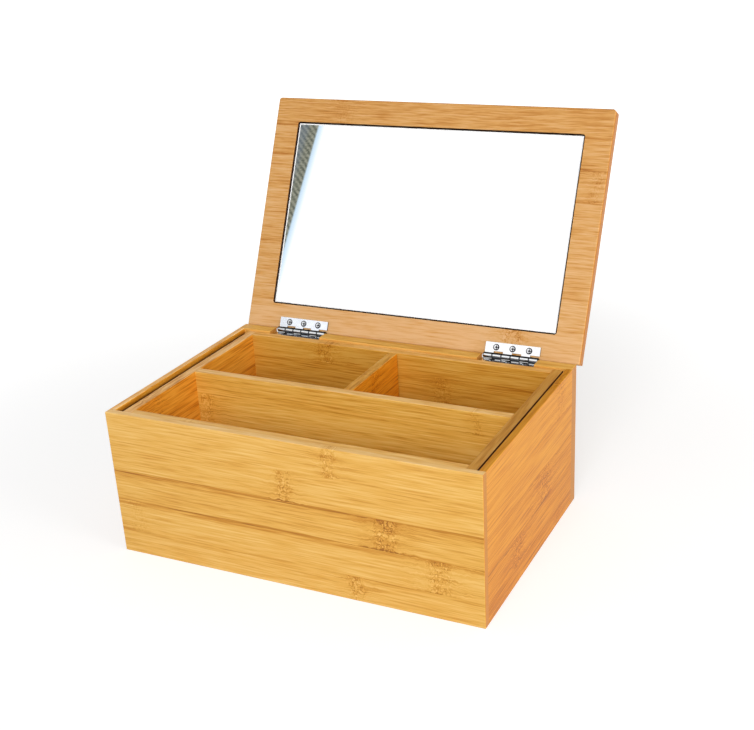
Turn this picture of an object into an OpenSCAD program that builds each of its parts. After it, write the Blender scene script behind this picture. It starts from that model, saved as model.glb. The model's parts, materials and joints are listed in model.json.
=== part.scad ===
// Wooden storage box with a hinged mirror lid and a loose tray of three compartments.
// Origin at the centre of the underside, +X to the right, +Y to the back, +Z up.
// The lid is drawn open, as it rests.

/* [Box] */
// Outside width of the box, left to right
box_w = 260; // [200:1:360]
// Outside depth of the box, front to back
box_d = 172.5; // [130:0.5:260]
// Height of the box up to its rim
box_h = 102; // [60:1:180]
// Thickness of the front panel
front_t = 5; // [4:0.5:9]
// Thickness of the two side panels
side_t = 4.5; // [4:0.5:9]
// Thickness of the back panel, which carries the hinges
back_t = 9.5; // [9:0.5:14]
// Thickness of the bottom panel
bottom_t = 5; // [4:0.5:9]
// How far the bottom panel's tongue reaches into the walls
tongue_reach = 2; // [1:0.5:3]
// Thickness of the bottom panel's tongue
tongue_t = 2; // [1:0.5:2.5]
// Radius of the eased edges of the walls
wall_edge_r = 0.5; // [0.3:0.1:1.5]

/* [Lid] */
// Thickness of the lid panel
lid_t = 8; // [7:0.5:14]
// How far the lid stands over the box at each side
lid_over_side = 1; // [0:0.25:4]
// How far the lid stands over the front of the box
lid_over_front = 0.5; // [0:0.25:4]
// How far the lid stands over the back of the box
lid_over_back = 1.2; // [0:0.1:1.3]
// Radius of the lid's two front corners, seen from above
lid_corner_r = 3.2; // [1.5:0.1:12]
// Radius of the lid's two corners beside the hinges, seen from above
lid_heel_r = 1; // [0.5:0.1:6]
// Radius of the lid's eased edges
lid_edge_r = 1.1; // [0.3:0.1:1.5]
// Gap between the closed lid and the rim
lid_gap = 0.3; // [0.2:0.1:1]
// Angle between the open lid and the closed lid, in degrees
lid_open = 115.6; // [95:0.1:120]

/* [Mirror] */
// Width of the lid's border left and right of the mirror
border_side = 19.2; // [12:0.1:40]
// Width of the lid's border between the mirror and the hinges
border_hinge = 18.6; // [14:0.1:40]
// Width of the lid's border at its front edge
border_front = 17.9; // [12:0.1:40]
// Corner radius of the mirror's recess
recess_r = 2; // [1:0.25:6]
// How far the glass lies below the lid's inner face
glass_set = 1.2; // [0.5:0.1:2]
// Thickness of the mirror glass
glass_t = 3; // [2:0.5:4]
// Width of the ground edge round the face of the glass
glass_arris = 0.8; // [0.3:0.1:1.5]
// Gap between the glass and the wall of its recess
glass_fit = 0.3; // [0.2:0.1:1]
// Thickness of the tape that holds the glass
tape_t = 0.5; // [0.3:0.1:1]
// Width of each strip of tape
tape_w = 18; // [10:1:30]
// Number of strips of tape
tape_count = 3; // [2:1:5]
// Distance of the tape from the edge of the glass
tape_inset = 12; // [5:1:20]

/* [Tray] */
// Thickness of the tray's walls and dividers
tray_t = 6.8; // [4:0.2:10]
// Thickness of the tray's floor
tray_floor_t = 3; // [2:0.5:6]
// Free space between the tray and the left panel
tray_play_left = 4.25; // [1:0.25:8]
// Free space between the tray and the right panel
tray_play_right = 1.75; // [1:0.25:8]
// Clearance between the tray and the front and back panels
tray_fit = 0.3; // [0.2:0.1:2]
// Clearance between the tray and the bottom panel
tray_lift = 0.2; // [0.1:0.1:1]
// How far the tray's rim lies below the rim of the box
tray_drop = 1.3; // [0.5:0.1:20]
// Place of the long divider from front to back, as a share of the free depth
long_divider_share = 0.495; // [0.3:0.005:0.7]
// Place of the short divider from left to right, as a share of the free width
short_divider_share = 0.5; // [0.2:0.05:0.8]
// Gap between the far end of the short divider and the tray's back wall
divider_gap = 0.7; // [0.1:0.1:0.9]
// Radius of the eased edges of the tray's walls
tray_edge_r = 0.5; // [0.2:0.1:1.5]

/* [Hinges] */
// Length of each hinge
hinge_l = 40; // [36:1:60]
// Distance from the side of the box to the middle of each hinge
hinge_inset = 47.5; // [35:0.5:70]
// Number of knuckles of each hinge
knuckles = 6; // [4:2:8]
// Distance from the pin's axis to the free edge of a leaf
leaf_reach = 9.4; // [8.8:0.1:9.6]
// Thickness of the sheet metal
sheet_t = 1; // [0.6:0.05:1.2]
// Diameter of the hinge pin
pin_d = 1.9; // [1.4:0.1:2.4]
// Running clearance all round the pin
pin_fit = 0.05; // [0.02:0.01:0.1]
// Gap between two knuckles
knuckle_gap = 0.2; // [0.1:0.05:0.5]
// Gap between a knuckle and the notch of the other leaf
notch_clear = 1.2; // [0.6:0.1:1.3]
// Gap at the end of the rolled sheet
seam_w = 0.25; // [0.1:0.05:0.4]
// How far the pin's axis lies behind the back panel
axis_out = 1.8; // [1.4:0.1:2.2]
// Free space at each end of a hinge in its mortise
mortise_clear = 0.6; // [0.6:0.1:2]
// Height of the pin's peened heads
pin_head_t = 0.3; // [0.2:0.1:0.5]
// How far the peened heads stand out round the pin
pin_head_over = 0.5; // [0.2:0.1:0.8]
// Radius of the leaf's free corners
leaf_corner_r = 0.5; // [0.2:0.1:1.5]

/* [Screws] */
// Distance between neighbouring screws of a leaf
screw_pitch = 12; // [10:0.5:16]
// Number of screws in each leaf
screw_count = 3; // [2:1:3]
// Distance from the pin's axis to the row of screws
screw_reach = 6; // [5.8:0.1:6.3]
// Diameter of the screw's shank
screw_d = 2; // [1.6:0.1:2.4]
// Diameter of the countersunk head
screw_head_d = 3.8; // [3:0.1:4]
// Length of the screws in the back panel
box_screw_l = 9; // [6:0.5:16]
// Length of the screws in the lid
lid_screw_l = 6; // [4:0.5:7]
// How far the screw heads lie below the face of the leaf
screw_sink = 0.35; // [0.1:0.05:0.4]
// Length of the screw's point
screw_tip_l = 1.6; // [1:0.1:2.5]
// Clearance all round a screw in its hole
screw_fit = 0.05; // [0.02:0.01:0.1]
// Length of the arms of the cross recess
cross_l = 2.6; // [1.4:0.1:3]
// Width of the arms of the cross recess
cross_w = 0.65; // [0.3:0.05:0.8]
// Depth of the cross recess
cross_deep = 1; // [0.5:0.1:1.2]

/* [Hidden] */
$fn = 48;
// Overrun of every cut past the face that it opens
over = 1;
wood = [0.86, 0.66, 0.36];
wood_side = [0.84, 0.58, 0.31];
wood_tray = [0.78, 0.58, 0.27];
metal = [0.82, 0.83, 0.86];
metal_dark = [0.62, 0.63, 0.66];

// Inside of the box
inner_w = box_w - 2 * side_t;
inner_d = box_d - front_t - back_t;
front_y = -box_d / 2;
back_y = box_d / 2;
inner_front_y = front_y + front_t;
inner_back_y = back_y - back_t;
tongue_z = (bottom_t - tongue_t) / 2;

// Hinges: the axis runs along x, and both leaves point to the front when the lid is closed
barrel_r = pin_d / 2 + pin_fit + sheet_t;
notch_reach = barrel_r + notch_clear;
knuckle_pitch = hinge_l / knuckles;
axis_y = back_y + axis_out;
axis_z = box_h + lid_gap - barrel_r;
mortise_z = axis_z - barrel_r;
hinge_x = [hinge_inset - box_w / 2, box_w / 2 - hinge_inset];
screw_taper = (screw_head_d - screw_d) / 2;
screw_z = sheet_t - barrel_r - screw_sink;

// Lid, in its closed place
lid_w = box_w + 2 * lid_over_side;
lid_d = box_d + lid_over_front + lid_over_back;
lid_front_y = front_y - lid_over_front;
lid_z = box_h + lid_gap;
recess_w = lid_w - 2 * border_side;
recess_d = lid_d - border_front - border_hinge;
recess_deep = glass_set + glass_t + tape_t;
recess_y = lid_front_y + border_front;
glass_w = recess_w - 2 * glass_fit;
glass_d = recess_d - 2 * glass_fit;
tape_d = glass_d - 2 * tape_inset;

// Tray
tray_w = inner_w - tray_play_left - tray_play_right;
tray_d = inner_d - 2 * tray_fit;
tray_x = -inner_w / 2 + tray_play_left;
tray_y = inner_front_y + tray_fit;
tray_z = bottom_t + tray_lift;
tray_h = box_h - tray_drop - tray_z;
cross_wall_w = tray_w - 2 * tray_t;
free_d = tray_d - 3 * tray_t;
free_w = cross_wall_w - tray_t;
long_divider_y = tray_y + tray_t + free_d * long_divider_share;
short_divider_x = tray_x + tray_t + free_w * short_divider_share;
short_divider_y = long_divider_y + tray_t;
short_divider_l = tray_y + tray_d - tray_t - divider_gap - short_divider_y;
divider_h = tray_h - tray_floor_t;

// Rectangle with round corners, its lower left corner at the origin
module eased_rect(size, r) {
    translate([r, 0]) square([size.x - 2 * r, size.y]);
    translate([0, r]) square([size.x, size.y - 2 * r]);
    for (x = [r, size.x - r])
        for (y = [r, size.y - r])
            translate([x, y]) circle(r);
}

// Board whose edges along x are eased
module board_x(size, r) {
    rotate([90, 0, 90]) linear_extrude(size.x) eased_rect([size.y, size.z], r);
}

// Board whose edges along y are eased
module board_y(size, r) {
    translate([0, size.y, 0]) rotate([90, 0, 0]) linear_extrude(size.y) eased_rect([size.x, size.z], r);
}

// Wall across the full width, with its outer corners eased; outer is the side that shows
module full_wall(t, outer_y, inside) {
    size = [box_w, t, box_h];
    plan_y = inside > 0 ? outer_y : outer_y - t - 2 * wall_edge_r;
    low_y = inside > 0 ? outer_y : outer_y - t;
    intersection() {
        translate([-box_w / 2, low_y, 0]) board_x(size, wall_edge_r);
        translate([-box_w / 2, low_y, 0]) board_y(size, wall_edge_r);
        translate([-box_w / 2, plan_y, 0]) linear_extrude(box_h)
            eased_rect([box_w, t + 2 * wall_edge_r], wall_edge_r);
    }
}

// Groove round the inside of the walls, and the tongue that fills it
module tongue(reach) {
    translate([-inner_w / 2 - reach, inner_front_y - reach, tongue_z])
        cube([inner_w + 2 * reach, inner_d + 2 * reach, tongue_t]);
}

// Countersunk body of a screw, its head's face at z = 0 and its point down; its cone goes on up by rise
module screw_body(length, fit, rise) {
    shank_r = screw_d / 2 + fit;
    head_r = screw_head_d / 2 + fit;
    translate([0, 0, -screw_taper])
        cylinder(h = screw_taper + rise, r1 = shank_r, r2 = head_r + rise);
    translate([0, 0, screw_tip_l - length]) cylinder(h = length - screw_tip_l - screw_taper, r = shank_r);
    translate([0, 0, -length]) cylinder(h = screw_tip_l, r1 = screw_fit, r2 = shank_r);
}

// Hole for that screw, with its countersink carried up to the face of the leaf
module screw_hole(length) {
    screw_body(length, screw_fit, screw_sink);
}

// Cross recess that tapers to its bottom
module cross_recess() {
    intersection() {
        union() for (turn = [0, 90])
            rotate([0, 0, turn]) translate([-cross_l / 2, -cross_w / 2, -cross_deep])
                cube([cross_l, cross_w, cross_deep + over]);
        union() {
            translate([0, 0, -cross_deep]) cylinder(h = cross_deep, r1 = cross_w / 2, r2 = cross_l / 2);
            cylinder(h = over, r = cross_l / 2);
        }
    }
}

module screw(length) {
    difference() {
        screw_body(length, 0, 0);
        cross_recess();
    }
}

// Places of a leaf's screws, a little below the face of the leaf that shows
module at_screws() {
    for (i = [0 : screw_count - 1])
        translate([(i - (screw_count - 1) / 2) * screw_pitch, -screw_reach, screw_z]) children();
}

// Leaf of sheet metal that lies under the axis; every second knuckle from first belongs to it
module leaf(first, screw_l) {
    difference() {
        union() {
            translate([-hinge_l / 2, -leaf_reach, -barrel_r]) linear_extrude(sheet_t) difference() {
                eased_rect([hinge_l, leaf_reach], leaf_corner_r);
                translate([-over, leaf_reach - notch_reach]) square([hinge_l + 2 * over, notch_reach + over]);
            }
            for (k = [first : 2 : knuckles - 1]) {
                translate([k * knuckle_pitch + knuckle_gap / 2 - hinge_l / 2, 0, 0]) knuckle();
            }
        }
        rotate([0, 90, 0]) cylinder(h = hinge_l + 2 * over, r = pin_d / 2 + pin_fit, center = true);
        at_screws() screw_hole(screw_l);
    }
}

// Strap rolled round the pin, with the seam where the roll ends
module knuckle() {
    w = knuckle_pitch - knuckle_gap;
    difference() {
        union() {
            translate([0, -notch_reach, -barrel_r]) cube([w, notch_reach, sheet_t]);
            rotate([0, 90, 0]) cylinder(h = w, r = barrel_r);
        }
        translate([-over, -barrel_r - over, sheet_t - barrel_r])
            cube([w + 2 * over, barrel_r + over, seam_w]);
    }
}

module pin() {
    rotate([0, 90, 0]) {
        cylinder(h = hinge_l, r = pin_d / 2, center = true);
        for (side = [-1, 1])
            translate([0, 0, side * (hinge_l + pin_head_t) / 2])
                cylinder(h = pin_head_t, r = pin_d / 2 + pin_head_over, center = true);
    }
}

// Puts a hinge part at hinge i, under the lid's closed place
module at_hinge(i) {
    translate([hinge_x[i], axis_y, axis_z]) children();
}

// Turns a part of the closed lid into the open place
module opened() {
    translate([0, axis_y, axis_z]) rotate([-lid_open, 0, 0]) translate([0, -axis_y, -axis_z]) children();
}

// Leaf on the lid, face down while the lid is closed
module lid_leaf(i) {
    opened() at_hinge(i) mirror([0, 0, 1]) leaf(0, lid_screw_l);
}

module box_leaf(i) {
    at_hinge(i) leaf(1, box_screw_l);
}

// Mortise through the top of the back panel for hinge i
module mortise(i) {
    w = hinge_l + 2 * mortise_clear;
    translate([hinge_x[i] - w / 2, inner_back_y - over, mortise_z]) cube([w, back_t + 2 * over, box_h]);
}

module front_panel() {
    color(wood) difference() {
        full_wall(front_t, front_y, 1);
        tongue(tongue_reach);
    }
}

module back_panel() {
    color(wood) difference() {
        full_wall(back_t, back_y, -1);
        tongue(tongue_reach);
        for (i = [0, 1]) {
            mortise(i);
            at_hinge(i) at_screws() screw_hole(box_screw_l);
        }
    }
}

module side_panel(x) {
    difference() {
        translate([x, inner_front_y, 0]) board_y([side_t, inner_d, box_h], wall_edge_r);
        tongue(tongue_reach);
    }
}

module left_panel() {
    color(wood_side) side_panel(-box_w / 2);
}

module right_panel() {
    color(wood_side) side_panel(box_w / 2 - side_t);
}

module bottom_panel() {
    color(wood) {
        translate([-inner_w / 2, inner_front_y, 0]) cube([inner_w, inner_d, bottom_t]);
        tongue(tongue_reach);
    }
}

module tray_side(x) {
    translate([x, tray_y, tray_z]) board_y([tray_t, tray_d, tray_h], tray_edge_r);
}

module tray_cross_wall(y, z, h) {
    translate([tray_x + tray_t, y, z]) board_x([cross_wall_w, tray_t, h], tray_edge_r);
}

module tray_left() {
    color(wood_tray) tray_side(tray_x);
}

module tray_right() {
    color(wood_tray) tray_side(tray_x + tray_w - tray_t);
}

module tray_front() {
    color(wood_tray) tray_cross_wall(tray_y, tray_z, tray_h);
}

module tray_back() {
    color(wood_tray) tray_cross_wall(tray_y + tray_d - tray_t, tray_z, tray_h);
}

module tray_floor() {
    color(wood_tray) translate([tray_x + tray_t, tray_y + tray_t, tray_z])
        cube([cross_wall_w, tray_d - 2 * tray_t, tray_floor_t]);
}

module long_divider() {
    color(wood_tray) tray_cross_wall(long_divider_y, tray_z + tray_floor_t, divider_h);
}

module short_divider() {
    color(wood_tray) translate([short_divider_x, short_divider_y, tray_z + tray_floor_t])
        board_y([tray_t, short_divider_l, divider_h], tray_edge_r);
}

// Lid seen from above, its front corners rounder than those beside the hinges
module lid_plan() {
    turn_y = lid_corner_r + lid_heel_r;
    eased_rect([lid_w, lid_d - turn_y], lid_corner_r);
    translate([0, turn_y]) eased_rect([lid_w, lid_d - turn_y], lid_heel_r);
}

// Lid panel in one piece, with the recess for the glass in its inner face
module lid_panel() {
    size = [lid_w, lid_d, lid_t];
    color(wood) opened() difference() {
        translate([-lid_w / 2, lid_front_y, lid_z]) intersection() {
            board_x(size, lid_edge_r);
            board_y(size, lid_edge_r);
            linear_extrude(lid_t) lid_plan();
        }
        translate([-recess_w / 2, recess_y, lid_z - over])
            linear_extrude(recess_deep + over) eased_rect([recess_w, recess_d], recess_r);
        for (i = [0, 1]) at_hinge(i) mirror([0, 0, 1]) at_screws() screw_hole(lid_screw_l);
    }
}

// Ground edge of a sheet of glass seen end on: w wide, the ground side at the bottom
module glass_profile(w) {
    polygon([
        [glass_arris, 0], [w - glass_arris, 0], [w, glass_arris],
        [w, glass_t], [0, glass_t], [0, glass_arris]
    ]);
}

module mirror_glass() {
    color("lightcyan") opened()
        translate([-glass_w / 2, recess_y + glass_fit, lid_z + glass_set]) intersection() {
            rotate([90, 0, 90]) linear_extrude(glass_w) glass_profile(glass_d);
            translate([0, glass_d, 0]) rotate([90, 0, 0]) linear_extrude(glass_d) glass_profile(glass_w);
        }
}

module mirror_tape() {
    step = (glass_w - 2 * tape_inset - tape_w) / (tape_count - 1);
    color("white") opened()
        translate([tape_inset - glass_w / 2, recess_y + glass_fit + tape_inset, lid_z + glass_set + glass_t])
            for (i = [0 : tape_count - 1])
                translate([i * step, 0, 0]) cube([tape_w, tape_d, tape_t]);
}

module left_box_leaf() {
    color(metal) box_leaf(0);
}

module right_box_leaf() {
    color(metal) box_leaf(1);
}

module left_lid_leaf() {
    color(metal) lid_leaf(0);
}

module right_lid_leaf() {
    color(metal) lid_leaf(1);
}

module left_hinge_pin() {
    color(metal_dark) at_hinge(0) pin();
}

module right_hinge_pin() {
    color(metal_dark) at_hinge(1) pin();
}

module box_screws() {
    color(metal_dark) for (i = [0, 1]) at_hinge(i) at_screws() screw(box_screw_l);
}

module lid_screws() {
    color(metal_dark) opened() for (i = [0, 1]) at_hinge(i) mirror([0, 0, 1]) at_screws() screw(lid_screw_l);
}

front_panel();
back_panel();
left_panel();
right_panel();
bottom_panel();
tray_front();
tray_back();
tray_left();
tray_right();
tray_floor();
long_divider();
short_divider();
lid_panel();
mirror_glass();
mirror_tape();
left_box_leaf();
left_lid_leaf();
left_hinge_pin();
right_box_leaf();
right_lid_leaf();
right_hinge_pin();
box_screws();
lid_screws();
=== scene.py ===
"""Looks of the bamboo storage box with a mirror lid: materials, studio light and camera."""
import json
import math
import random
from dataclasses import dataclass

import bpy
from mathutils import Matrix, Vector

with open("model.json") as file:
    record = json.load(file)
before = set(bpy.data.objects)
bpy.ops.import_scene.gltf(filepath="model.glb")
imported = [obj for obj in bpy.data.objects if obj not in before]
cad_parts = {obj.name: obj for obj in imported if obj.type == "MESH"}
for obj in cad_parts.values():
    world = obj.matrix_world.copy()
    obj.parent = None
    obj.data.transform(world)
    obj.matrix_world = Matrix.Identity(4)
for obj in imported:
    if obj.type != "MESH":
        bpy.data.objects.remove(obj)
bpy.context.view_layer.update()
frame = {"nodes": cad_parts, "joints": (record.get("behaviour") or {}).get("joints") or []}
nodes = frame["nodes"]
MM = 0.001

# The photo's camera: where it stands, where it points, and how it is framed
IMAGE_W = 754
IMAGE_H = 730
SENSOR = 36.0
NEAR_CLIP = 0.01
CAMERA_AT = Vector((0.3510, -0.6385, 0.4090))
CAMERA_AZIMUTH = math.radians(26.136)
CAMERA_ELEVATION = math.radians(24.253)
CAMERA_ROLL = math.radians(-2.840)
FOCAL_PX = 1202.6
CENTRE_PX = (399.0, 414.1)

# The lid's axis and the angle by which it stands open
HINGE = next(joint for joint in frame["joints"] if joint["name"] == "lid_hinge")
PIVOT = Vector(HINGE["pos_m"])
LEAN = math.radians(HINGE["range_deg"][1])

# The hinges: middle of the right one, radius and number of knuckles, and the screws' row in a leaf
HINGE_X = 82.5 * MM
BARREL_R = 2.0 * MM
KNUCKLES = 6
SCREW_PITCH = 12 * MM
SCREW_REACH = 6 * MM


def add_camera():
    az, el, roll = CAMERA_AZIMUTH, CAMERA_ELEVATION, CAMERA_ROLL
    back = Vector((math.sin(az) * math.cos(el), -math.cos(az) * math.cos(el), math.sin(el)))
    level = Vector((math.cos(az), math.sin(az), 0.0))
    above = level.cross(-back)
    right = level * math.cos(roll) + above * math.sin(roll)
    up = above * math.cos(roll) - level * math.sin(roll)
    data = bpy.data.cameras.new("camera")
    data.sensor_width = SENSOR
    data.lens = FOCAL_PX / IMAGE_W * SENSOR
    data.shift_x = (IMAGE_W / 2 - CENTRE_PX[0]) / IMAGE_W
    data.shift_y = (CENTRE_PX[1] - IMAGE_H / 2) / IMAGE_W
    data.clip_start = NEAR_CLIP
    camera = bpy.data.objects.new("camera", data)
    turn = Matrix((right, up, back)).transposed().to_4x4()
    camera.matrix_world = Matrix.Translation(CAMERA_AT) @ turn
    bpy.context.scene.collection.objects.link(camera)
    bpy.context.scene.camera = camera


def opaque(color):
    """A written colour with its alpha. A socket stays as it is."""
    return (*color, 1.0) if isinstance(color, tuple) else color


class Tree:
    """Short forms for building a shader's nodes."""

    def __init__(self, owner):
        owner.use_nodes = True
        self.owner = owner
        self.t = owner.node_tree
        self.t.nodes.clear()

    def node(self, kind, **values):
        made = self.t.nodes.new(kind)
        for key, value in values.items():
            setattr(made, key, value)
        return made

    def link(self, value, socket):
        if isinstance(value, bpy.types.NodeSocket):
            self.t.links.new(value, socket)
        else:
            socket.default_value = value

    def math(self, operation, a, b=None, c=None, clamp=False):
        made = self.node("ShaderNodeMath", operation=operation, use_clamp=clamp)
        for i, value in enumerate((a, b, c)):
            if value is not None:
                self.link(value, made.inputs[i])
        return made.outputs[0]

    def times(self, *values):
        product = values[0]
        for value in values[1:]:
            product = self.math("MULTIPLY", product, value)
        return product

    def add_part(self, base, signal, gain):
        """base + (signal - 0.5) * gain, for a signal between 0 and 1."""
        return self.math("MULTIPLY_ADD", self.math("SUBTRACT", signal, 0.5), gain, base)

    def distance(self, value, place):
        return self.math("ABSOLUTE", self.math("SUBTRACT", value, place))

    def split(self, vector):
        made = self.node("ShaderNodeSeparateXYZ")
        self.link(vector, made.inputs[0])
        return dict(zip("xyz", made.outputs))

    def vector(self, x, y, z):
        made = self.node("ShaderNodeCombineXYZ")
        for i, value in enumerate((x, y, z)):
            self.link(value, made.inputs[i])
        return made.outputs[0]

    def turned(self, vector, center, angle):
        made = self.node("ShaderNodeVectorRotate", rotation_type="X_AXIS")
        self.link(vector, made.inputs["Vector"])
        self.link(center, made.inputs["Center"])
        self.link(angle, made.inputs["Angle"])
        return made.outputs[0]

    def noise(self, vector, scale=1.0, detail=2.0, rough=0.5):
        made = self.node("ShaderNodeTexNoise")
        self.link(vector, made.inputs["Vector"])
        self.link(scale, made.inputs["Scale"])
        self.link(detail, made.inputs["Detail"])
        self.link(rough, made.inputs["Roughness"])
        return made.outputs["Fac"]

    def mix(self, factor, a, b, blend="MIX"):
        made = self.node("ShaderNodeMix", data_type="RGBA", blend_type=blend)
        self.link(factor, made.inputs[0])
        self.link(opaque(a), made.inputs[6])
        self.link(opaque(b), made.inputs[7])
        return made.outputs[2]

    def blend(self, factor, a, b):
        made = self.node("ShaderNodeMix", data_type="FLOAT")
        self.link(factor, made.inputs[0])
        self.link(a, made.inputs[2])
        self.link(b, made.inputs[3])
        return made.outputs[0]

    def ramp(self, value, stops):
        made = self.node("ShaderNodeValToRGB")
        self.link(value, made.inputs[0])
        elements = made.color_ramp.elements
        while len(elements) < len(stops):
            elements.new(0.5)
        for element, (place, color) in zip(elements, stops):
            element.position = place
            element.color = opaque(color)
        return made.outputs[0]

    def band(self, value, low, high, bottom=0.0, top=1.0):
        """bottom on the side of low, top on the side of high, smooth between them."""
        made = self.node("ShaderNodeMapRange", interpolation_type="SMOOTHSTEP")
        for i, number in enumerate((value, low, high, bottom, top)):
            self.link(number, made.inputs[i])
        return made.outputs[0]

    def object_place(self, angle=0.0):
        """Place on the object, turned by an angle about the lid's axis as the lid is when it closes."""
        place = self.node("ShaderNodeTexCoord").outputs["Object"]
        return self.turned(place, PIVOT, angle) if angle else place

    def object_normal(self, angle=0.0):
        normal = self.node("ShaderNodeTexCoord").outputs["Normal"]
        return self.turned(normal, (0, 0, 0), angle) if angle else normal

    def output(self, shader, kind="ShaderNodeOutputMaterial"):
        self.t.links.new(shader, self.node(kind).inputs["Surface"])
        return self.owner


def new_material(name):
    return Tree(bpy.data.materials.new(name))


def closed_box(name):
    """Bounds of a lid piece in the lid's closed place."""
    back = Matrix.Translation(PIVOT) @ Matrix.Rotation(LEAN, 4, "X") @ Matrix.Translation(-PIVOT)
    piece = nodes[name]
    points = [back @ piece.matrix_world @ vertex.co for vertex in piece.data.vertices]
    return [[pick(p[i] for p in points) for i in range(3)] for pick in (min, max)]


# Bamboo from dark to pale, and the tones at which its colours stand
BAMBOO_RAMP = [
    (0.0, (0.33, 0.12, 0.022)),
    (0.28, (0.60, 0.275, 0.045)),
    (0.52, (0.79, 0.455, 0.115)),
    (0.82, (0.90, 0.61, 0.245)),
]
MIDDLE_TONE = 0.55
END_GRAIN_TONE = 0.60
GAP_SHADE = (0.10, 0.03, 0.012)
# Painted shade on the routed walls round the glass
RECESS_SHADE = (0.07, 0.035, 0.022)

# Noise patterns of the cane: changes per metre along and across it, place in the noise, and detail
SWAY = (40.0, 60.0, 21.0, 1.0)
WANDER = (9.0, 30.0, 0.0, 1.0)
WAVE = (190.0, 260.0, 31.0, 2.0)
STREAK = (7.0, 190.0, 8.3, 2.0)
CLOUD = (5.0, 34.0, 12.9, 2.0)
PATCHES = (13.0, 20.0, 40.0, 1.0)
CROOKED = (560.0, 400.0, 51.0, 1.0)
BREAKS = (420.0, 260.0, 55.0, 2.0)
PORES_PER_M = 900.0

# Short strokes of the fibres: changes per metre along and across, and how much they tell
STROKES = (28.0, 760.0, 0.17)
STRONG_STROKES = (34.0, 850.0, 0.27)
LONG_STROKES = (22.0, 1500.0, 0.22)
LID_STROKES = (34.0, 640.0, 0.17)

# How far the fibres stray: knots along the cane, strips across it, and fibres near a knot. The skew is
# how much they shift for each unit of depth in the board
KNOT_STRAY = 9 * MM
STRIP_STRAY = 3 * MM
WAVE_STRAY = 5 * MM
SKEW = 0.45

# The glue line between two strips, from its edge to its full darkness, and its flank
LINE_EDGE = 0.85 * MM
LINE_CORE = 0.25 * MM
FLANK_OFF = 1.6 * MM
FLANK_REACH = 3.4 * MM


@dataclass
class Board:
    """How one board looks. "along" runs with the fibres and "across" is square to them in the board's
    plane. Strips are glued edge to edge, and each has its own tone and its own knots. Joints are
    (place, line, flank), knots (strip, place along, half length, strength), and tints those of the
    face, the rim and the end."""
    along: str
    across: str
    joints: list
    knots: list
    tints: tuple
    seed: float
    tones: list = None
    relief: float = 1.0
    streaks: float = 1.0
    hair: float = 38.0
    grain: float = 1150.0
    strokes: tuple = STROKES
    glint: float = 0.18
    gloss: float = 0.32
    gap: tuple = None
    outer: tuple = None
    lid: bool = False

    def __post_init__(self):
        if self.tones is None:
            draw = random.Random(self.seed)
            self.tones = [draw.uniform(-0.05, 0.05) for _ in range(len(self.joints) + 1)]


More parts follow.
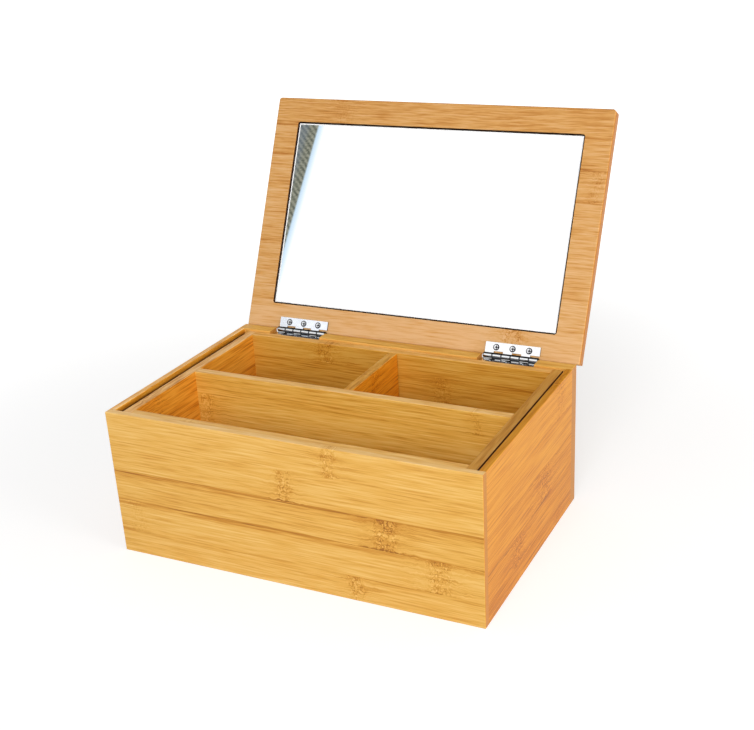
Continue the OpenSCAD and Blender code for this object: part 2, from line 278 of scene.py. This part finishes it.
class Bamboo(Tree):
    """Shader of one board. Places on it are a along the fibres, c across them and d through the board."""

    def __init__(self, name, board):
        super().__init__(bpy.data.materials.new(name))
        self.board = board
        angle = LEAN if board.lid else 0.0
        self.axes = self.split(self.object_place(angle))
        facing = self.split(self.object_normal(angle))
        thin = ({"x", "y", "z"} - {board.along, board.across}).pop()
        self.a = self.axes[board.along]
        self.c = self.axes[board.across]
        self.d = self.axes[thin]
        self.out = facing[thin]
        self.end = self.band(self.math("ABSOLUTE", facing[board.along]), 0.6, 0.8)
        self.rim = self.band(self.math("ABSOLUTE", facing[board.across]), 0.6, 0.8)
        self.count_strips()
        self.find_knots()
        self.bend_fibres()

    def count_strips(self):
        """Number of the strip, its own tone, and a shift by which its pattern differs from the others."""
        tones = self.board.tones
        self.number = 0.0
        self.own = tones[0]
        for (at, _, _), below, above in zip(self.board.joints, tones, tones[1:]):
            over = self.math("GREATER_THAN", self.c, at)
            self.number = self.math("ADD", self.number, over)
            self.own = self.math("MULTIPLY_ADD", over, above - below, self.own)
        self.shift = self.math("MULTIPLY_ADD", self.number, 7.31, self.board.seed * 3.7)

    def pattern(self, pattern, width=None):
        """Noise drawn out along the cane."""
        stretch, fine, offset, detail = pattern
        across = self.times(self.c if width is None else width, fine)
        place = self.vector(self.times(self.a, stretch), across, self.math("ADD", self.shift, offset))
        return self.noise(place, detail=detail, rough=0.6)

    def find_knots(self):
        """Belts across a strip where the fibres break up, and wider zones where they waver."""
        swayed = self.add_part(self.a, self.pattern(SWAY), KNOT_STRAY)
        self.knot = 0.0
        self.zone = 0.0
        for strip, at, half, strength in self.board.knots:
            near = self.distance(swayed, at)
            same = self.times(self.math("COMPARE", self.number, float(strip), 0.4), strength)
            belt = self.times(self.band(near, half * 1.3, half * 0.35), same)
            zone = self.times(self.band(near, half * 3.8, half * 0.9), same)
            self.knot = self.math("MAXIMUM", self.knot, belt)
            self.zone = self.math("MAXIMUM", self.zone, zone)

    def bend_fibres(self):
        """The course of the strips and fibres, which stray a little and lie askew through the board."""
        course = self.add_part(self.c, self.pattern(WANDER), STRIP_STRAY)
        self.course = self.add_part(course, self.pattern(WAVE), self.times(self.zone, WAVE_STRAY))
        self.bend = self.math("MULTIPLY_ADD", self.d, SKEW, self.course)

    def fibres(self):
        """Short fine strokes, with longer streaks and broad clouds under them."""
        board = self.board
        along, across, gain = board.strokes
        self.hair = self.pattern((board.hair, board.grain, 1.7, 2.0), self.bend)
        self.fibre = self.band(self.pattern((along, across, 4.1, 3.0), self.bend), 0.33, 0.67)
        self.streak = self.pattern(STREAK, self.bend)
        tone = self.math("ADD", self.own, MIDDLE_TONE)
        tone = self.add_part(tone, self.hair, 0.72 * board.relief)
        tone = self.add_part(tone, self.fibre, gain * board.relief)
        tone = self.add_part(tone, self.streak, 0.24 * board.streaks)
        return self.add_part(tone, self.pattern(CLOUD, self.bend), 0.16)

    def glued(self, tone):
        """The glue line between two strips, and the darker flank on its lower side."""
        here = self.math("MULTIPLY_ADD", self.pattern(PATCHES), 1.3, 0.1, clamp=True)
        for at, line, flank in self.board.joints:
            crisp = self.band(self.distance(self.course, at), LINE_EDGE, LINE_CORE)
            soft = self.band(self.distance(self.course, at - FLANK_OFF), FLANK_REACH, 0.0)
            tone = self.math("SUBTRACT", tone, self.times(crisp, here, 0.22 * line))
            tone = self.math("SUBTRACT", tone, self.times(soft, here, 0.15 * flank))
        return tone

    def knotted(self, tone):
        """Fine crooked marks with pale glints between them, on a browner ground."""
        crooked = self.pattern(CROOKED)
        marks = self.band(self.distance(crooked, 0.5), 0.085, 0.03)
        broken = self.band(self.pattern(BREAKS), 0.38, 0.56)
        glints = self.times(self.band(crooked, 0.56, 0.66), self.knot)
        tone = self.math("SUBTRACT", tone, self.times(marks, broken, self.knot, 0.26))
        tone = self.math("MULTIPLY_ADD", glints, self.board.glint, tone)
        tone = self.math("SUBTRACT", tone, self.times(self.knot, 0.05))
        return self.math("SUBTRACT", tone, self.times(self.zone, self.streak, 0.09), clamp=True)

    def end_grain(self):
        """Pores seen end on."""
        place = self.vector(self.times(self.c, PORES_PER_M), self.times(self.d, PORES_PER_M), self.shift)
        return self.add_part(END_GRAIN_TONE, self.noise(place), 0.4)

    def tint(self):
        face, rim, end = self.board.tints
        # The face and top-edge tints carry partly painted light as well as the wood's tone
        tint = self.mix(self.end, self.mix(self.rim, face, rim), end)
        if self.board.outer:
            outside = closed_box("lid_panel")[1][2]
            tint = self.mix(self.band(self.d, outside - 0.6 * MM, outside - 0.2 * MM), tint, self.board.outer)
        return tint

    def routed(self):
        """1 on the walls that the router left round the glass, where shade is painted."""
        low, high = closed_box("mirror_glass")
        (_, _, face), (_, _, back) = closed_box("lid_panel")
        inside = self.band(self.axes["z"], face + 0.05 * MM, face + 0.35 * MM)
        inside = self.times(inside, self.band(self.axes["z"], back - 1.0 * MM, back - 1.5 * MM))
        for i, axis in enumerate("xy"):
            off = self.distance(self.axes[axis], (low[i] + high[i]) / 2)
            reach = (high[i] - low[i]) / 2 + 0.5 * MM
            inside = self.times(inside, self.math("LESS_THAN", off, reach))
        return inside

    def color(self):
        tone = self.knotted(self.glued(self.fibres()))
        tone = self.blend(self.end, tone, self.end_grain())
        color = self.mix(1.0, self.ramp(tone, BAMBOO_RAMP), self.tint(), blend="MULTIPLY")
        # Painted shade on the walls deep in the gaps beside the tray
        if self.board.gap:
            painted_gap_shade = self.times(self.band(self.out, 0.35, 0.7), self.band(self.c, *self.board.gap))
            color = self.mix(painted_gap_shade, color, GAP_SHADE)
        # Painted shade on the routed walls round the glass
        if self.board.lid:
            color = self.mix(self.routed(), color, RECESS_SHADE)
        return color

    def material(self):
        shader = self.node("ShaderNodeBsdfPrincipled")
        self.link(self.color(), shader.inputs["Base Color"])
        bump = self.node("ShaderNodeBump")
        bump.inputs["Strength"].default_value = 0.10
        bump.inputs["Distance"].default_value = 0.12 * MM
        self.link(self.math("MULTIPLY_ADD", self.fibre, 0.5, self.hair), bump.inputs["Height"])
        self.link(bump.outputs[0], shader.inputs["Normal"])
        self.link(self.math("MULTIPLY_ADD", self.hair, 0.16, 0.34), shader.inputs["Roughness"])
        shader.inputs["IOR"].default_value = 1.45
        shader.inputs["Specular IOR Level"].default_value = self.board.gloss
        return self.output(shader.outputs[0])


# Steel and glass
# Painted shade for steel: on its edges, and in the recesses, middles and crescents of the screws' heads
STEEL_SHADE = (0.07, 0.07, 0.08)
# Painted reflections on the hinge barrels: a dark base, and a bright highlight bar on each knuckle
BARREL_DARK_REFLECTION = (0.11, 0.12, 0.13)
BARREL_HIGHLIGHT = (0.80, 0.82, 0.84)
PIN_STEEL = (0.10, 0.10, 0.11)
SCREW_STEEL = (0.82, 0.83, 0.85)
LEAF_STEEL = {"left": (0.84, 0.87, 0.93), "right": (0.90, 0.90, 0.91)}
# Painted reflection of the mirror's edge: a pale line between these distances inside the rim
RIM_LINE_INNER = 1.75 * MM
RIM_LINE_OUTER = 1.45 * MM


def streaky(t, place, x_scale, scale, seed, detail):
    """Noise with its own scale in x, and one scale for the other two directions."""
    z = t.math("MULTIPLY_ADD", place["z"], scale, seed)
    return t.noise(t.vector(t.times(place["x"], x_scale), t.times(place["y"], scale), z), detail=detail)


def screw_heads(t, angle, level):
    """1 on the heads' faces at the given level. Painted shade makes it 0 in the recesses under it, in the
    middle of each head and in a crescent on its right."""
    lying = t.split(t.object_place(angle))
    hinge = t.math("MULTIPLY_ADD", t.math("GREATER_THAN", lying["x"], 0.0), 2 * HINGE_X, -HINGE_X)
    screw = t.math("DIVIDE", t.math("SUBTRACT", lying["x"], hinge), SCREW_PITCH)
    x = t.times(t.math("SUBTRACT", t.math("FRACT", t.math("ADD", screw, 2.5)), 0.5), SCREW_PITCH)
    y = t.math("SUBTRACT", lying["y"], PIVOT.y - SCREW_REACH)

    def away(left, front):
        """Distance from a point so far to the left of the screw's middle and in front of it."""
        return t.math("SQRT", t.math("ADD", t.math("POWER", t.math("ADD", x, left), 2.0),
                                     t.math("POWER", t.math("ADD", y, front), 2.0)))

    # Painted shade in the recesses, in the middle of each head and in a crescent beside it
    flush = t.band(t.distance(lying["z"], level), 0.20 * MM, 0.08 * MM)
    round_middle = t.band(away(0.0, 0.0), 0.55 * MM, 0.85 * MM)
    left_of_crescent = t.band(away(0.35 * MM, 0.15 * MM), 1.65 * MM, 1.40 * MM)
    return t.times(flush, round_middle, left_of_crescent)


def knuckles(t, place, span):
    """Colour of the barrel over the width span: a painted highlight as a bright bar on each knuckle, and a
    painted dark reflection beside it.
    """
    normal = t.split(t.object_normal())
    front = t.math("MULTIPLY_ADD", normal["y"], -math.cos(math.radians(30)), t.times(normal["z"], 0.5))
    step = t.math("DIVIDE", t.math("SUBTRACT", place["x"], span[0]), (span[1] - span[0]) / KNUCKLES)
    from_middle = t.distance(t.math("FRACT", step), 0.5)
    # Painted highlight on the side of each knuckle that faces front and up
    painted_highlight = t.times(t.band(front, 0.84, 0.96), t.band(from_middle, 0.46, 0.38))
    return t.mix(painted_highlight, BARREL_DARK_REFLECTION, BARREL_HIGHLIGHT)


def steel(name, face, rough, seed, angle=0.0, span=None, level=None):
    """Steel with painted shade: bright on its broad faces and dark on its edges. A leaf has painted
    reflections on its knuckles over the width span, and screws have painted shade round their heads at the
    given level."""
    t = new_material(name)
    place = t.split(t.object_place())
    brushed = streaky(t, place, 350.0, 3000.0, seed, 3.0)
    smear = streaky(t, place, 180.0, 180.0, seed, 2.0)
    dull = tuple(c * 0.93 for c in face)
    flat = t.math("ABSOLUTE", t.split(t.object_normal(angle))["z"])
    lit_faces = t.band(flat, 0.88, 0.97)
    if level is not None:
        lit_faces = t.times(lit_faces, screw_heads(t, angle, level))
    # Painted shade: edges and screw recesses take the dark steel colour, broad faces stay bright
    color = t.mix(lit_faces, STEEL_SHADE, t.mix(t.band(smear, 0.35, 0.65), dull, face))
    if span:
        y = t.math("SUBTRACT", place["y"], PIVOT.y)
        z = t.math("SUBTRACT", place["z"], PIVOT.z)
        radius = t.math("SQRT", t.math("ADD", t.times(y, y), t.times(z, z)))
        on_sheet = t.band(radius, BARREL_R + 0.1 * MM, BARREL_R + 0.3 * MM)
        # Painted highlight and dark reflection on the barrel
        color = t.mix(on_sheet, knuckles(t, place, span), color)
    shader = t.node("ShaderNodeBsdfPrincipled")
    t.link(color, shader.inputs["Base Color"])
    shader.inputs["Metallic"].default_value = 1.0
    t.link(t.math("MULTIPLY_ADD", brushed, 0.08, rough), shader.inputs["Roughness"])
    return t.output(shader.outputs[0])


def mirror():
    """Silvered face, with a painted reflection as a pale line along its rim, and a bright ground edge."""
    t = new_material("mirror")
    haze = t.noise(t.object_place(), scale=40.0)
    axes = t.split(t.object_place(LEAN))
    facing = t.split(t.object_normal(LEAN))
    ground = t.band(t.math("ABSOLUTE", facing["z"]), 0.95, 0.8)
    low, high = closed_box("mirror_glass")
    inward = 1.0
    for i, axis in enumerate("xy"):
        off = t.distance(axes[axis], (low[i] + high[i]) / 2)
        inward = t.math("MINIMUM", inward, t.math("SUBTRACT", (high[i] - low[i]) / 2, off))
    # Painted reflection: a pale matte line along the rim
    line = t.times(t.band(inward, RIM_LINE_INNER, RIM_LINE_OUTER), t.math("SUBTRACT", 1.0, ground))
    shader = t.node("ShaderNodeBsdfPrincipled")
    silver = t.mix(haze, (0.95, 0.955, 0.955), (0.975, 0.98, 0.98))
    t.link(t.mix(line, silver, (0.98, 0.99, 1.0)), shader.inputs["Base Color"])
    t.link(t.math("SUBTRACT", 1.0, line), shader.inputs["Metallic"])
    t.link(t.blend(ground, t.blend(line, 0.012, 0.4), 0.12), shader.inputs["Roughness"])
    return t.output(shader.outputs[0])


def foam_tape():
    t = new_material("tape")
    foam = t.noise(t.object_place(), scale=900.0)
    shader = t.node("ShaderNodeBsdfPrincipled")
    t.link(t.mix(foam, (0.78, 0.78, 0.75), (0.88, 0.88, 0.85)), shader.inputs["Base Color"])
    shader.inputs["Roughness"].default_value = 0.8
    return t.output(shader.outputs[0])


def evenly(first, step, count, line, flank=0.6):
    """Joints at even distances, in mm."""
    return [((first + i * step) * MM, line, flank) for i in range(count)]


def in_mm(knots):
    return [(strip, at * MM, half * MM, strength) for strip, at, half, strength in knots]


def scattered(seed, strips, low, high, count):
    """Knots spread by chance over a board's strips."""
    draw = random.Random(seed)
    return in_mm([
        (draw.randrange(strips), draw.uniform(low, high), draw.uniform(5, 8), draw.uniform(0.5, 0.9))
        for _ in range(count)
    ])


# Joints, tones of the strips and knots of the box's boards. Those of the front and the right side follow
# the photo
FRONT_JOINTS = [(17.4 * MM, 0.7, 1.0), (39.6 * MM, 1.1, 1.8), (60.9 * MM, 1.4, 1.0), (82.3 * MM, 0.2, 0.2)]
FRONT_TONES = [0.03, 0.03, -0.04, 0.0, 0.03]
FRONT_KNOTS = in_mm([
    (4, 31.5, 5.5, 0.8), (3, -1.7, 6, 0.8), (2, 66, 8, 1.05),
    (1, 101, 10, 0.9), (0, 45.5, 5.5, 0.9), (1, -115, 7, 0.3),
])
BACK_JOINTS = [(15 * MM, 0.6, 0.7), (37 * MM, 0.8, 1.0), (59 * MM, 1.0, 0.6), (81 * MM, 0.6, 0.4)]
BACK_KNOTS = in_mm([(0, -60, 8, 0.8), (2, 30, 7, 0.7), (3, -90, 6, 0.9), (4, 84, 7, 0.6)])
SIDE_JOINTS = [(12 * MM, 0.5, 0.5), (33 * MM, 0.6, 0.7), (56 * MM, 0.4, 0.4), (78 * MM, 0.6, 0.6)]
SIDE_TONES = [-0.10, -0.07, -0.01, 0.05, 0.09]
SIDE_KNOTS = in_mm([(2, 20, 13, 0.75), (1, -30, 10, 0.65), (4, 53, 9, 0.6), (0, 46, 6, 0.4)])
LID_TONES = [-0.06, -0.03, -0.01, 0.03, 0.05, 0.06, 0.08, 0.17]
LID_KNOTS = in_mm([(7, 79.8, 8, 1.3), (0, -73.6, 8, 0.3), (2, 125, 5, 0.5)])

# Heights below which painted shade covers a wall beside the tray, from full light to full shade
LEFT_GAP = (99.6 * MM, 97.6 * MM)
RIGHT_GAP = (100.8 * MM, 100.6 * MM)

# Tints of the boards: broad faces, top edge and end grain. Besides the wood's own tone they hold partly
# painted light and shade: the tops and the lid paler or darker, and the faces turned to the side more orange,
# as light, sheen and bounce fall on them
TRAY_END = (0.95, 0.80, 0.60)
SIDE_END = (0.83, 0.60, 0.30)
BACK_FACE = (1.0, 0.91, 0.77)
FLOOR_FACE = (0.90, 0.80, 0.50)
LID_FACE = (0.83, 0.74, 0.86)
TINTS = {
    "front_panel": ((0.98, 0.93, 0.75), (1.12, 1.13, 1.30), (0.78, 0.50, 0.18)),
    "back_panel": (BACK_FACE, (1.05, 0.98, 0.72), (0.75, 0.49, 0.25)),
    "left_panel": ((0.98, 0.72, 0.24), (1.18, 1.10, 1.20), SIDE_END),
    "right_panel": ((0.98, 0.65, 0.18), (0.80, 0.53, 0.11), SIDE_END),
    "bottom_panel": (BACK_FACE, BACK_FACE, BACK_FACE),
    "tray_front": ((0.95, 0.90, 0.70), (1.12, 1.09, 1.06), TRAY_END),
    "tray_back": ((0.82, 0.69, 0.34), (1.08, 0.96, 0.85), TRAY_END),
    "tray_left": ((1.00, 0.69, 0.22), (1.08, 1.00, 1.10), TRAY_END),
    "tray_right": ((1.0, 0.72, 0.28), (0.80, 0.64, 0.36), TRAY_END),
    "tray_floor": (FLOOR_FACE, FLOOR_FACE, FLOOR_FACE),
    "long_divider": ((1.0, 0.96, 0.66), (1.15, 1.14, 1.32), TRAY_END),
    "short_divider": ((0.93, 0.54, 0.08), (0.93, 0.76, 0.42), TRAY_END),
    "lid_panel": (LID_FACE, LID_FACE, (0.70, 0.41, 0.10)),
}


def boards():
    """The boards by name, each with its own strips, knots and grain."""
    made = {}

    def add(name, along, across, joints, knots, **more):
        made[name] = Board(along, across, joints, knots, TINTS[name], seed=1.0 + len(made) * 1.5, **more)

    add("front_panel", "x", "z", FRONT_JOINTS, FRONT_KNOTS, tones=FRONT_TONES)
    add("back_panel", "x", "z", BACK_JOINTS, BACK_KNOTS)
    add("right_panel", "y", "z", SIDE_JOINTS, SIDE_KNOTS, tones=SIDE_TONES, relief=1.5, streaks=0.3,
        hair=26.0, grain=1900.0, strokes=LONG_STROKES, gloss=0.2, glint=0.34)
    add("left_panel", "y", "z", SIDE_JOINTS, scattered(4, 5, -70, 70, 4), relief=1.3, gap=LEFT_GAP)
    add("bottom_panel", "x", "y", evenly(-66, 22, 7, 0.8), scattered(5, 8, -110, 110, 9))
    add("tray_front", "x", "z", evenly(18, 21, 4, 0.6), in_mm([(4, -72.8, 5, 0.5)]))
    add("tray_back", "x", "z", evenly(23, 21, 4, 0.6), in_mm([(4, -52, 8, 0.9), (3, 38, 7, 0.6)]),
        relief=1.4)
    add("long_divider", "x", "z", evenly(22, 21, 4, 0.4), in_mm([(3, -108, 7, 0.8), (4, 93, 3, 0.5)]),
        relief=1.2)
    add("tray_left", "y", "z", evenly(14, 21, 4, 0.6), in_mm([(4, -52, 6, 0.5)]),
        relief=1.35, strokes=STRONG_STROKES)
    add("tray_right", "y", "z", evenly(19, 21, 4, 0.6), in_mm([(2, -20, 7, 0.6)]),
        relief=1.3, gap=RIGHT_GAP)
    add("short_divider", "y", "z", evenly(24, 21, 4, 0.4), in_mm([(4, 33, 7, 0.8)]),
        relief=1.45, strokes=STRONG_STROKES)
    add("tray_floor", "x", "y", evenly(-62, 21, 7, 0.7), scattered(30, 8, -110, 110, 8))
    add("lid_panel", "x", "y", evenly(-66, 22, 7, 0.9), LID_KNOTS, tones=LID_TONES, relief=1.25,
        streaks=0.55, hair=60.0, strokes=LID_STROKES, outer=BACK_FACE, lid=True)
    return made


def paint(name, material):
    nodes[name].data.materials.clear()
    nodes[name].data.materials.append(material)


def dress_hinges():
    for side, face in LEAF_STEEL.items():
        leaves = [side + "_box_leaf", side + "_lid_leaf"]
        across = [vertex.co.x for name in leaves for vertex in nodes[name].data.vertices]
        span = (min(across), max(across))
        paint(leaves[0], steel(leaves[0] + "_steel", face, 0.09, 0.0, span=span))
        paint(leaves[1], steel(leaves[1] + "_steel", face, 0.09, 0.0, angle=LEAN, span=span))
    pin = steel("pin_steel", PIN_STEEL, 0.20, 5.0)
    paint("left_hinge_pin", pin)
    paint("right_hinge_pin", pin)
    top = max(vertex.co.z for vertex in nodes["box_screws"].data.vertices)
    paint("box_screws", steel("box_screw_steel", SCREW_STEEL, 0.10, 9.0, level=top))
    under = closed_box("lid_screws")[0][2]
    paint("lid_screws", steel("lid_screw_steel", SCREW_STEEL, 0.10, 9.0, angle=LEAN, level=under))


def dress():
    for name, board in boards().items():
        paint(name, Bamboo("bamboo_" + name, board).material())
    paint("mirror_glass", mirror())
    paint("mirror_tape", foam_tape())
    dress_hinges()


# The studio: floor, white screen, and a grey blind of which the mirror shows the edge
FLOOR_W = 40.0
FLOOR_GREY = (0.60, 0.60, 0.60)
GLOW_NEAR = 0.22
GLOW_FAR = 1.0
AMBIENT = 0.40
SCREEN_WAY = Vector((-0.39, -0.76, 0.51)).normalized()
SCREEN_EDGE = math.cos(math.radians(34))
SCREEN_CORE = math.cos(math.radians(19))
BLIND_W = 0.5
BLIND_H = 1.1
BLIND_AT = (-1.240, -1.2, 1.18)
BLIND_TURN = (math.radians(90), math.radians(-6.6), 0)
BLIND_TINT_EDGE = (0.190, 0.172)
BLIND_GLARE_EDGE = (0.2025, 0.2080)
BLIND_WHITE_EDGE = (0.2060, 0.2300)

# Lamps: place, size, watts and colour. All aim at the box
LAMP_AIM = Vector((0, 0, 0.06))
LAMPS = {
    "key": ((0.44, -1.62, 1.09), 1.2, 24.0, (1.0, 1.0, 1.0)),
    "fill": ((1.9, -0.4, 0.42), 1.0, 16.5, (1.0, 0.97, 0.92)),
}


def plane(name, width, height, at, turn, material):
    mesh = bpy.data.meshes.new(name)
    x, y = width / 2, height / 2
    mesh.from_pydata([(-x, -y, 0), (x, -y, 0), (x, y, 0), (-x, y, 0)], [], [(0, 1, 2, 3)])
    mesh.materials.append(material)
    made = bpy.data.objects.new(name, mesh)
    made.location = at
    made.rotation_euler = turn
    bpy.context.scene.collection.objects.link(made)
    return made


def floor():
    """Pale floor. For the camera, a mirror or glass it has some white of its own that rises with the
    distance, so that only the shadow tells."""
    t = new_material("floor")
    path = t.node("ShaderNodeLightPath").outputs
    seen = t.math("MAXIMUM", path["Is Camera Ray"], path["Is Glossy Ray"])
    seen = t.math("MAXIMUM", seen, path["Is Transmission Ray"])
    far = t.node("ShaderNodeVectorMath", operation="LENGTH")
    t.link(t.object_place(), far.inputs[0])
    diffuse = t.node("ShaderNodeBsdfDiffuse")
    diffuse.inputs["Color"].default_value = opaque(FLOOR_GREY)
    glow = t.node("ShaderNodeEmission")
    rise = t.band(far.outputs["Value"], GLOW_NEAR, GLOW_FAR, 0.54, 1.0)
    t.link(t.times(seen, rise), glow.inputs["Strength"])
    both = t.node("ShaderNodeAddShader")
    t.link(diffuse.outputs[0], both.inputs[0])
    t.link(glow.outputs[0], both.inputs[1])
    plane("floor", FLOOR_W, FLOOR_W, (0, 0, 0), (0, 0, 0), t.output(both.outputs[0]))


def sky():
    """White for the camera. For mirrors a white screen at the front left and a white wall behind the
    box, under a dark ceiling. Level soft light for the rest."""
    t = Tree(bpy.data.worlds.new("sky"))
    way = t.node("ShaderNodeTexCoord").outputs["Generated"]
    toward = t.node("ShaderNodeVectorMath", operation="DOT_PRODUCT")
    t.link(way, toward.inputs[0])
    t.link(SCREEN_WAY, toward.inputs[1])
    screen = t.band(toward.outputs["Value"], SCREEN_EDGE, SCREEN_CORE, 0.10, 1.2)
    parts = t.split(way)
    wall = t.times(t.band(parts["y"], 0.1, 0.4), t.band(parts["z"], 0.75, 0.50), 0.8)
    path = t.node("ShaderNodeLightPath").outputs
    strength = t.blend(path["Is Glossy Ray"], AMBIENT, t.math("MAXIMUM", screen, wall))
    direct = t.math("MAXIMUM", path["Is Camera Ray"], path["Is Transmission Ray"])
    background = t.node("ShaderNodeBackground")
    background.inputs["Color"].default_value = (1.0, 1.0, 1.0, 1.0)
    t.link(t.blend(direct, strength, 1.0), background.inputs["Strength"])
    bpy.context.scene.world = t.output(background.outputs[0], "ShaderNodeOutputWorld")


def blind():
    """Grey slatted blind beside the studio's white screen. Only mirrors see it."""
    t = new_material("blind")
    place = t.split(t.object_place())
    x, y = place["x"], place["y"]
    slats = t.math("SINE", t.math("MULTIPLY_ADD", y, 360.0, t.times(x, 420.0)))
    blot = t.noise(t.object_place(), scale=170.0, detail=1.0)
    shade = t.math("MULTIPLY_ADD", slats, 0.20, blot)
    color = t.ramp(shade, [(0.25, (0.12, 0.13, 0.10)), (0.75, (0.34, 0.34, 0.27))])
    bluish = t.mix(0.35, color, (0.16, 0.22, 0.32))
    color = t.mix(t.band(x, *BLIND_TINT_EDGE), color, bluish)
    color = t.mix(t.band(x, *BLIND_GLARE_EDGE), color, (0.66, 0.84, 1.0))
    color = t.mix(t.band(x, *BLIND_WHITE_EDGE), color, (1.2, 1.2, 1.2))
    glow = t.node("ShaderNodeEmission")
    t.link(color, glow.inputs["Color"])
    card = plane("blind", BLIND_W, BLIND_H, BLIND_AT, BLIND_TURN, t.output(glow.outputs[0]))
    card.visible_camera = False
    card.visible_diffuse = False
    card.visible_transmission = False
    card.visible_shadow = False


def lamp(name, at, size, watts, color):
    data = bpy.data.lights.new(name, "AREA")
    data.shape = "DISK"
    data.size = size
    data.energy = watts
    data.color = color
    made = bpy.data.objects.new(name, data)
    made.location = at
    made.rotation_euler = (LAMP_AIM - Vector(at)).to_track_quat("-Z", "Y").to_euler()
    made.visible_glossy = False
    bpy.context.scene.collection.objects.link(made)


def studio():
    bpy.context.scene.view_settings.view_transform = "Standard"
    floor()
    sky()
    blind()
    for name, values in LAMPS.items():
        lamp(name, *values)


add_camera()
dress()
studio()
